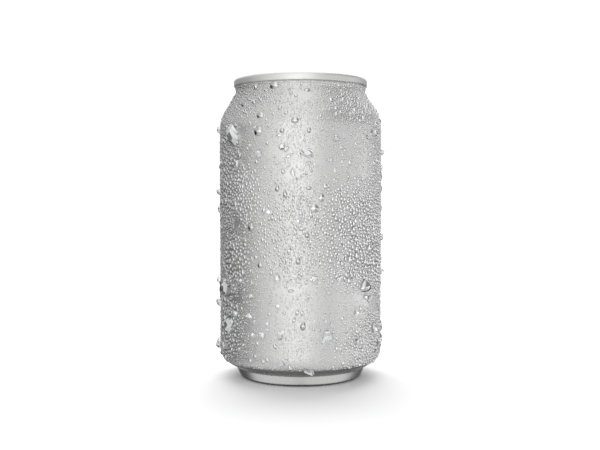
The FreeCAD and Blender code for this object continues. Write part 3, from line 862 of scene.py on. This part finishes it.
# %% Splinters
SPLINTERS = 4
shares_of = np.array([0.8, 0.6, 0.5, 0.45])
splinters = np.repeat(chips, SPLINTERS, axis=0)
part_of = np.tile(shares_of, len(chips))
away = np.where(part_of == shares_of[0], 0.0, 0.75) * rng.uniform(0.7, 1.1, len(splinters))
toward = rng.uniform(0, 2 * math.pi, len(splinters))
splinters[:, 0] += np.degrees(away * np.cos(toward) * splinters[:, 2] / WALL_RADIUS)
splinters[:, 1] += away * np.sin(toward) * splinters[:, 3]
splinters[:, 2:5] *= (part_of * rng.uniform(0.85, 1.2, len(splinters)))[:, None] * 1.4
splinters[:, 5] += rng.uniform(-25, 25, len(splinters))
print("splinters:", len(splinters))

# %% [markdown]
# A splinter is three rings of five points: one just in the metal, one at the shoulder, and a small
# one for the top, which slopes. The corners go round at uneven angles and the rings differ in
# width. The faces are flat, and a narrow bevel breaks the edges and carries the crushed white. The
# foot of a splinter gets the most painted shade, a dark painted contour against the metal, and its
# top none. Each corner has its own share of it, so that no two faces look alike.

# %% Chips of ice
RING_WIDTH = np.array([1.02, 0.96, 0.52])
RING_OUT = np.array([-0.06, 0.62, 1.0])
# painted shade of each ring: a dark painted contour at the foot, none at the top
RING_PAINTED_SHADE = np.array([0.8, 0.25, 0.0])
CHIP_SIDES = 5
# degrees from the front within which chips get their painted shade in full; beyond, a fifth
FULL_SHADE_WITHIN = 72  # degrees from the front within which chips lose light in full; beyond, a fifth


def chip_points(rng, chips):
    """Points in mm of ice chips: rings of uneven polygons, stacked outwards with a sloping top.

    Corner angle = even step + random part; corner radius = ring width * random part; the height of
    a ring above the wall grows by a slope across it.
    """
    count = len(chips)
    degrees, height, wide, tall, out, turned = (chips[:, k][:, None, None] for k in range(6))
    step = 2 * math.pi / CHIP_SIDES
    angle = (np.arange(CHIP_SIDES) + rng.uniform(-0.3, 0.3, (count, 1, CHIP_SIDES))) * step
    size = RING_WIDTH[None, :, None] * rng.uniform(0.8, 1.1, (count, 1, CHIP_SIDES))
    size = size * rng.uniform(0.93, 1.07, (count, len(RING_WIDTH), CHIP_SIDES))
    x, y = size * np.cos(angle), size * np.sin(angle)
    slope = rng.normal(0, 0.22, (2, count, 1, 1))
    rise = RING_OUT[None, :, None] * (1 + slope[0] * x + slope[1] * y) * out
    turn = np.radians(turned)
    across = x * wide * np.cos(turn) - y * tall * np.sin(turn)
    up = x * wide * np.sin(turn) + y * tall * np.cos(turn)
    way = np.clip(way_at(height) + up, 0, WALL_END)
    r = np.interp(way, wall_way, wall_line[:, 0])
    return on_wall(np.radians(degrees) + across / r, way, rise).reshape(count, -1, 3)


rings = len(RING_WIDTH)
chip_faces = [
    grid_faces(rings, CHIP_SIDES),
    np.arange(CHIP_SIDES)[None, ::-1],
    ((rings - 1) * CHIP_SIDES + np.arange(CHIP_SIDES))[None, :],
]
ice_chips = build_mesh(
    "ice_chips", chip_points(rng, splinters) * MM, chip_faces, smooth=False, copies=len(splinters)
)
# painted shade on the chips, darkest at the foot, a fifth of it away from the front
shade = RING_PAINTED_SHADE[None, :, None] * rng.uniform(0.3, 1.0, (len(splinters), 1, CHIP_SIDES))
shade = shade * np.where(np.abs(splinters[:, 0]) < FULL_SHADE_WITHIN, 1.0, 0.2)[:, None, None]
hold_painted_shade(ice_chips, shade)
ice_chips.data.materials.append(ice)
ice_chips.data.materials.append(crushed_ice)
broken = ice_chips.modifiers.new("broken_edges", "BEVEL")
broken.width = 0.2 * MM
broken.segments = 1
broken.material = 1  # the second material, crushed ice
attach(ice_chips, "root")
taken += [tuple(p) for p in zip(np.radians(chips[:, 0]), way_at(chips[:, 1]), chips[:, 2:4].max(axis=1))]

# %% [markdown]
# ## Beads and dew drops
#
# The rest of the water is beads, from specks to drops three millimetres wide. How they look changes
# over the wall, so it is written down as ovals again: where the oval is, then the half width of the
# beads in mm, how close they stand, how fat they are, how long they are drawn out and how strong
# their painted shade is. Between the ovals there is only thin dew. Both sides of the can dry first:
# down each runs a narrow band of small flat beads. The other way would be a texture of bumps, but a
# bump has no outline against the background and no shadow.

# %% Fields of beads
bead_fields = [
    # round, height, half wide, half tall, bead half width, close, fat, long, clear (painted shade)
    (-7, 60, 25, 18, 0.44, 1.8, 0.75, 1.9, 0.75),
    (28, 60, 24, 19, 0.5, 2.1, 0.85, 1.5, 0.9),
    (50, 60, 37, 18, 0.66, 1.9, 0.95, 1.3, 1),
    (60, 49, 24, 10, 0.76, 1.9, 1, 1.3, 1),
    (-60, 81, 15, 15, 0.48, 1.15, 0.75, 1.5, 0.9),
    (-38, 75, 13, 12, 0.45, 1.6, 0.75, 1.6, 0.6),
    (-48, 113, 34, 7, 0.34, 2.1, 0.8, 1.2, 1),
    (46, 112.5, 28, 8, 0.36, 2.1, 0.85, 1.2, 1),
    (52, 18, 28, 11, 0.5, 1.5, 0.85, 1.3, 1),
    (-52, 50, 18, 9, 0.48, 0.9, 0.8, 1.5, 0.9),
    (-60, 24, 16, 12, 0.44, 1.0, 0.8, 1.4, 0.9),
    (118, 66, 34, 22, 0.72, 1, 0.6, 1.15, 0.6),
    (205, 92, 30, 12, 0.5, 0.9, 0.5, 1.5, 0.4),
    (180, 35, 40, 14, 0.62, 0.9, 0.6, 1.2, 0.5),
    (245, 62, 28, 18, 0.7, 1, 0.6, 1.2, 0.4),
    (150, 113, 60, 6, 0.34, 1.2, 0.6, 1.1, 0.6),
]
# bead half width, close, fat, long, clear (painted shade)
THIN_DEW = (0.27, 1.3, 0.8, 1.4, 0.8)
DRY_DEW = (0.34, 1.5, 0.45, 1.25, 0.7)
# round, height, half wide, half tall
dry_edges = [(-91, 60, 13, 200), (91, 60, 13, 200)]
print("bead fields:", len(bead_fields))


def oval(azimuth, way, degrees, height, half_wide, half_tall):
    """1 in the middle of an oval on the wall, falling smoothly to 0 outside it: exp(-(x^2 + y^2)^2)."""
    turn = (np.degrees(azimuth) - degrees + 180) % 360 - 180
    far = (turn / half_wide) ** 2 + ((height_at(way) - height) / half_tall) ** 2
    return np.exp(-(far**2))


def bead_field(azimuth, way):
    """The five measures of the beads at places: thin dew, with each oval blended over the last."""
    values = np.repeat(np.array(THIN_DEW)[:, None], len(azimuth), axis=1)
    for row in bead_fields + [(*edge, *DRY_DEW) for edge in dry_edges]:
        part = oval(azimuth, way, *row[:4])
        values = values + (np.array(row[4:])[:, None] - values) * part
    return values


# %% [markdown]
# Beads don't overlap: where two would touch, they flow into one. So the places are thrown like
# darts, and a dart that lands on a bead already there is dropped.

# %% Throwing darts
def throw_darts(azimuth, way, reach, taken, cell=2.4):
    """Which places to keep so that no two circles of radius `reach` overlap, first come first kept.

    The places are sorted into square cells of the unrolled wall, and each new circle is compared
    with the kept ones in its own cell and the eight round it.
    """
    columns = int(2 * math.pi * WALL_RADIUS / cell)
    full = columns * cell
    across = azimuth / (2 * math.pi) % 1.0 * columns
    cells = {}
    kept = []
    column_of, row_of = across.astype(int) % columns, (way / cell).astype(int)
    x, y, r = across * cell, way, reach
    for other_azimuth, other_way, other_reach in taken:
        ox = other_azimuth / (2 * math.pi) % 1.0 * full
        gap_x = np.abs(x - ox)
        gap = np.hypot(np.minimum(gap_x, full - gap_x), y - other_way)
        r = np.where(gap < r + other_reach, -1.0, r)
    for k in np.flatnonzero(r > 0).tolist():
        c, w, xk, yk, rk = int(column_of[k]), int(row_of[k]), x[k], y[k], r[k]
        near = [
            other
            for dc in (-1, 0, 1)
            for dw in (-1, 0, 1)
            for other in cells.get(((c + dc) % columns, w + dw), ())
        ]
        if all((xk - ox) ** 2 + (yk - oy) ** 2 >= (rk + orad) ** 2 for ox, oy, orad in near):
            cells.setdefault((c, w), []).append((xk, yk, rk))
            kept.append(k)
    return np.array(kept)


# %% [markdown]
# The darts for grown drops go first, then the fat beads, then the rest, so that the small ones fill
# the gaps. A dart in a bare patch stays away. There are three kinds of bead by size, with fewer
# faces for the smaller, because less of their outline can be made out.

# %% Beads and dew drops
rng = np.random.default_rng(23)
DARTS = 120000
GROWN_SHARE = 0.004
dart_azimuth = rng.uniform(-math.pi, math.pi, DARTS)
dart_way = rng.uniform(way_at(WALL_FOOT), WALL_END - 0.4, DARTS)
wide, close, fat, long, clear = bead_field(dart_azimuth, dart_way)
wide = wide * rng.lognormal(0, 0.2, DARTS)
grown = rng.uniform(0, 1, DARTS) < GROWN_SHARE
wide = np.where(grown, rng.uniform(0.5, 0.9, DARTS), wide)
edge = np.max([oval(dart_azimuth, dart_way, *row) for row in dry_edges], axis=0)
left_wet = (1 - bareness(dart_azimuth, dart_way)) * (1 - 0.1 * edge)
stays = rng.uniform(0, 1, DARTS) < np.where(grown, 1 - 0.9 * edge, left_wet)
first = np.argsort(-np.where(grown, 2.0, wide > 0.5)[stays], kind="stable")
place = np.flatnonzero(stays)[first]
reach = wide * np.sqrt(long) * 1.06 / np.sqrt(close)
kept = place[throw_darts(dart_azimuth[place], dart_way[place], reach[place], taken)]
stretch_up = long * rng.uniform(0.75, 1.45, DARTS)
every = {
    "azimuth": dart_azimuth,
    "way": dart_way,
    "wide": wide,
    "tall": wide * stretch_up,
    "fat": fat * rng.uniform(0.85, 1.15, DARTS),
    "sag": rng.uniform(0.0, 0.3, DARTS),
    "wobble": rng.uniform(0.0, 0.24, DARTS),
    "turn": rng.normal(0, 0.15, DARTS),
    # clear: the strength of each bead's painted shade
    "clear": clear,
}
print("beads and dew drops:", len(kept))
size = wide[kept]
kinds = [
    # name, which, rings as shares of the width, sides, how deep the rim dips in
    ("beads", size > 0.46, (0.4, 0.78, 1.0), 8, 0.06),
    ("small_beads", (size > 0.31) & (size <= 0.46), (0.6, 1.0), 7, 0.04),
    ("dew_drops", size <= 0.31, (1.0,), 6, 0.03),
]
for name, chosen, shares, sides, sunk in kinds:
    make_drops(name, {k: v[kept[chosen]] for k, v in every.items()}, shares, sides, sunk)

# %% [markdown]
# ## The studio
#
# The can stands on a white floor in a white studio. Satin metal is a picture of the room, so the
# room decides the look: bright in front, softer to the right, a bright strip at the right edge and
# a dark screen on the left. The room could be made of lit panels, but every edge would be a panel to
# place. Here it is painted on the sky as a function of direction: the way round picks a brightness
# from a ramp, and the way up blends it into the level overhead and the level of the ground.

# %% The walls of the studio
round_levels = [
    # degrees round from the front (right is positive), brightness
    (-180, 0.7),
    (-168, 0.6),
    (-157, 0.06),
    (-138, 0.0),
    (-104, 0.0),
    (-94, 0.02),
    (-82, 0.27),
    (-62, 0.75),
    (-40, 1.2),
    (-5, 1.95),
    (12, 1.6),
    (28, 0.98),
    (42, 0.94),
    (56, 1.5),
    (67, 1.72),
    (75, 1.15),
    (88, 1.4),
    (96, 2.3),
    (108, 1.9),
    (122, 0.66),
    (134, 0.2),
    (146, 0.0),
    (160, 0.05),
    (170, 0.6),
    (180, 0.7),
]
world = bpy.data.worlds.new("studio")
bpy.context.scene.world = world
world.use_nodes = True
tree = world.node_tree
tree.nodes.clear()
sky = node(tree, "ShaderNodeTexCoord")
parts = node(tree, "ShaderNodeSeparateXYZ", inputs={"Vector": sky.outputs["Generated"]})
front = node(tree, "ShaderNodeMath", {"operation": "MULTIPLY"}, {0: parts.outputs["Y"], 1: -1.0})
around = node(
    tree, "ShaderNodeMath", {"operation": "ARCTAN2"}, {0: parts.outputs["X"], 1: front.outputs["Value"]}
)
share = node(
    tree,
    "ShaderNodeMapRange",
    inputs={"Value": around.outputs["Value"], "From Min": -math.pi, "From Max": math.pi},
)
ramp = node(tree, "ShaderNodeValToRGB", inputs={"Fac": share.outputs["Result"]})
ramp.color_ramp.interpolation = "EASE"
stops = ramp.color_ramp.elements
for degrees, level in round_levels[1:-1]:
    stops.new((degrees + 180) / 360)
for stop, (degrees, level) in zip(stops, round_levels):
    stop.color = (level, level, level, 1.0)
print("levels round the room:", len(stops))

# %% [markdown]
# Overhead is darker to the sides and a little darker to the right, and even straight behind. The
# step from the walls to it lies just above the horizon, and lower on the right. It is the step that
# shows on the shoulder and in the seam.

# %% Overhead
sideways = node(tree, "ShaderNodeMath", {"operation": "ABSOLUTE"}, {0: parts.outputs["X"]})
flanks = eased(tree, sideways.outputs["Value"], 0.15, 0.65, 1.15, 0.48)
above = node(
    tree,
    "ShaderNodeMix",
    {"data_type": "FLOAT"},
    {0: eased(tree, parts.outputs["Y"], 0.7, 1.0, 0.0, 1.0), 2: flanks, 3: 0.9},
)
above = node(
    tree,
    "ShaderNodeMath",
    {"operation": "MULTIPLY_ADD"},
    {0: parts.outputs["X"], 1: -0.22, 2: above.outputs[0]},
)
rightward = node(tree, "ShaderNodeMath", {"operation": "MAXIMUM"}, {0: parts.outputs["X"], 1: 0.0})
tilted = node(
    tree,
    "ShaderNodeMath",
    {"operation": "MULTIPLY_ADD"},
    {0: rightward.outputs["Value"], 1: 0.12, 2: parts.outputs["Z"]},
)
rising = eased(tree, tilted.outputs["Value"], 0.055, 0.275, 0.0, 1.0)
print("room nodes so far:", len(tree.nodes))

# %% [markdown]
# The walls get dimmer below the horizon. Near the ground the room is bright in front of the can and
# to its sides, and dark under it and behind it. That is what the lower cone and the foot show. What
# the camera sees directly is plain white.

# %% The ground and the sky
inward = node(
    tree,
    "ShaderNodeMath",
    {"operation": "MULTIPLY_ADD"},
    {0: sideways.outputs["Value"], 1: -1.2, 2: parts.outputs["Y"]},
)
ground = eased(tree, inward.outputs["Value"], -0.56, -0.24, 0.72, 0.03)
sinking = eased(tree, parts.outputs["Z"], -0.46, -0.64, 0.0, 1.0)
low = eased(tree, parts.outputs["Z"], -0.04, -0.22, 1.0, 0.54)
near_level = node(tree, "ShaderNodeMath", {"operation": "MULTIPLY"}, {0: ramp.outputs["Color"], 1: low})
level = node(
    tree,
    "ShaderNodeMix",
    {"data_type": "FLOAT"},
    {0: sinking, 2: near_level.outputs["Value"], 3: ground},
)
room = node(
    tree,
    "ShaderNodeMix",
    {"data_type": "FLOAT"},
    {0: rising, 2: level.outputs[0], 3: above.outputs["Value"]},
)
looking = node(tree, "ShaderNodeLightPath")
seen = node(
    tree,
    "ShaderNodeMix",
    {"data_type": "FLOAT"},
    {0: looking.outputs["Is Camera Ray"], 2: room.outputs[0], 3: 1.05},
)
background = node(tree, "ShaderNodeBackground", inputs={"Color": seen.outputs[0], "Strength": 1.0})
node(tree, "ShaderNodeOutputWorld", inputs={"Surface": background.outputs["Background"]})
print("room nodes:", len(tree.nodes))

# %% [markdown]
# ## The light on the floor
#
# A large soft light stands behind the can and throws the can's shadow forward. It only has to light
# the floor and the matt parts: seen in the metal it would wash out the shoulder and the seam. An
# area light would light the near floor more than the far floor. A sun lamp with a wide angle lights
# all of it evenly and still has soft shadows, and its ray visibility takes it out of glossy and
# clear surfaces.

# %% The light on the floor
SOFTNESS = math.radians(65)
BEHIND, OVERHEAD = 0.64, 0.77  # the light comes from this far behind for this much height
sun = bpy.data.lights.new("back_light", "SUN")
sun.energy = 2.4
sun.angle = SOFTNESS
back_light = bpy.data.objects.new("back_light", sun)
back_light.rotation_euler = (-math.atan2(BEHIND, OVERHEAD), 0.0, 0.0)
back_light.visible_glossy = False
back_light.visible_transmission = False
bpy.context.scene.collection.objects.link(back_light)
print("back light turned by", round(math.degrees(back_light.rotation_euler.x), 1), "degrees")

# %% [markdown]
# ## The floor
#
# A large plain white sheet at the height of the foot. It only has to catch the soft shadow, so it is
# matt white without gloss. Only the camera sees it: for every other ray it is clear, and the metal
# shows the painted ground of the room instead, which can be set without changing the floor.

# %% The floor
FLOOR_HALF = 4.0
corner = np.array([[-1, -1], [1, -1], [1, 1], [-1, 1]]) * FLOOR_HALF
floor = build_mesh(
    "floor", np.column_stack([corner, np.full(4, cad_low.z)]), [np.array([[0, 1, 2, 3]])], smooth=False
)
white, tree, shader = new_material("white_floor", Roughness=0.9, Specular_IOR_Level=0.0)
shader.inputs["Base Color"].default_value = (0.92, 0.92, 0.925, 1.0)
looking = node(tree, "ShaderNodeLightPath")
nothing = node(tree, "ShaderNodeBsdfTransparent")
choice = node(
    tree,
    "ShaderNodeMixShader",
    inputs={0: looking.outputs["Is Camera Ray"], 1: nothing.outputs["BSDF"], 2: shader.outputs["BSDF"]},
)
tree.links.new(choice.outputs["Shader"], tree.nodes["Material Output"].inputs["Surface"])
floor.data.materials.append(white)
